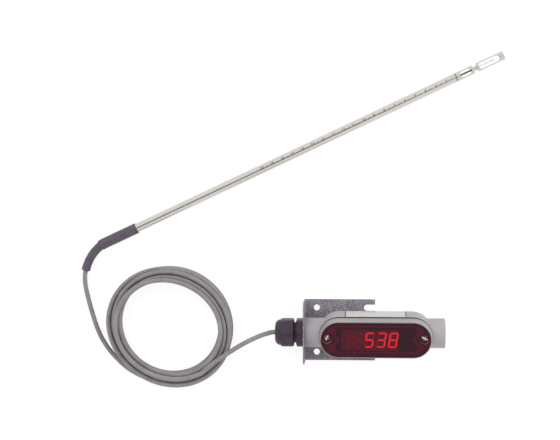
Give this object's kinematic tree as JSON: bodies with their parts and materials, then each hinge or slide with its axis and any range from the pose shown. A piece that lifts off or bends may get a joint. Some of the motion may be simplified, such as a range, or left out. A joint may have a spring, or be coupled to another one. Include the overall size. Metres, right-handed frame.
{
  "type": "air velocity transmitter",
  "caption": "Air velocity transmitter: conduit-body housing with red LED readout on a wall bracket, cable gland, coiled lead and a graduated rod probe with two sensing windows.",
  "frame": {"origin": "middle of the bracket's hole and slot pattern, on its back face", "axes": "+X along the hubs away from the gland, +Z out of the wall, +Y across the bracket towards the probe's tip"},
  "size_m": [0.3787, 0.3006, 0.0481],
  "materials": {
    "zinc_sheet": "galvanised sheet with a fine spangle, semi-matt",
    "cast_paint": "satin grey enamel on a die casting",
    "cover_paint": "satin grey enamel",
    "label_white": "blank satin label stock",
    "black_rubber": "matt black rubber",
    "red_lens": "clear gloss, tinted red",
    "mask_black": "matt black printed film",
    "bright_steel": "bright plated steel",
    "brass_posts": "plain turned brass",
    "board_green": "solder mask",
    "display_case": "dark red filter face",
    "led_lit": "lit red bars",
    "led_dim": "unlit bars",
    "black_plastic": "moulded black plastic",
    "key_plastic": "moulded plastic",
    "terminal_green": "moulded plastic",
    "header_ivory": "moulded plastic",
    "wire_sheath": "wire insulation",
    "capacitor_can": "sleeved can",
    "black_nylon": "moulded black nylon, satin",
    "cable_grey": "satin sheath",
    "boot_sleeve": "matt shrink sleeve",
    "probe_steel": "polished stainless steel",
    "dark_ring": "dark joint line",
    "ceramic": "potting compound",
    "dark_sensor": "glass-coated dark green rod",
    "film_sensor": "glass-coated rod"
  },
  "bodies": {
    "base": {"mounting_bracket": "zinc_sheet", "gland_body": "black_nylon", "gland_o_ring": "black_rubber", "gland_seal": "black_rubber", "gland_claw": "black_nylon", "cable_probe_lead": "cable_grey", "cable_coil": "cable_grey", "cable_housing_lead": "cable_grey", "heat_shrink_boot": "boot_sleeve", "cable_tail": "cable_grey", "tube_plug": "ceramic", "probe_tube": "probe_steel", "probe_wires": "wire_sheath", "seam_ring": "dark_ring", "sensor_seat": "ceramic", "tip_body": "probe_steel", "temperature_sensor": "dark_sensor", "velocity_sensor": "film_sensor"},
    "housing": {"conduit_body": "cast_paint", "rating_label": "label_white", "body_gasket": "black_rubber", "ground_screw": "bright_steel", "lower_standoffs": "brass_posts", "main_board": "board_green", "upper_standoffs": "brass_posts", "display_board": "board_green", "board_screws": "bright_steel", "led_display": "display_case", "lit_segments": "led_lit", "dim_segments": "led_dim", "switch_bases": "black_plastic", "terminal_block": "terminal_green", "terminal_screws": "bright_steel", "cable_header": "header_ivory", "sensor_wires": "wire_sheath", "board_link": "black_plastic", "power_converter": "black_plastic", "capacitors": "capacitor_can", "controller_chip": "black_plastic", "driver_chips": "black_plastic"},
    "cover": {"cover_bezel": "cover_paint", "lens_gasket": "black_rubber", "display_mask": "mask_black", "lens_window": "red_lens", "cover_screws": "bright_steel"},
    "clamping_nut": {"gland_nut": "black_nylon"},
    "set_key": {"button_set": "key_plastic"},
    "up_key": {"button_up": "key_plastic"},
    "down_key": {"button_down": "key_plastic"}
  },
  "joints": [
    {"name": "housing_swivel", "type": "hinge", "parent": "base", "child": "housing", "pos_m": [0, 0, 0.0212], "axis": [1, 0, 0], "range_deg": [-98, 82]},
    {"name": "cover_lift", "type": "slide", "parent": "housing", "child": "cover", "axis": [0, -0.1392, 0.9903], "range_m": [0, 0.04]},
    {"name": "gland_nut_turn", "type": "hinge", "parent": "base", "child": "clamping_nut", "pos_m": [-0.045, 0, 0.0212], "axis": [-1, 0, 0], "range_deg": [0, 270]},
    {"name": "set_key_press", "type": "slide", "parent": "housing", "child": "set_key", "axis": [0, 0.1392, -0.9903], "range_m": [0, 0.0003], "stiffness_N_per_m": 2500, "springref_m": -0.0003},
    {"name": "up_key_press", "type": "slide", "parent": "housing", "child": "up_key", "axis": [0, 0.1392, -0.9903], "range_m": [0, 0.0003], "stiffness_N_per_m": 2500, "springref_m": -0.0003},
    {"name": "down_key_press", "type": "slide", "parent": "housing", "child": "down_key", "axis": [0, 0.1392, -0.9903], "range_m": [0, 0.0003], "stiffness_N_per_m": 2500, "springref_m": -0.0003}
  ]
}
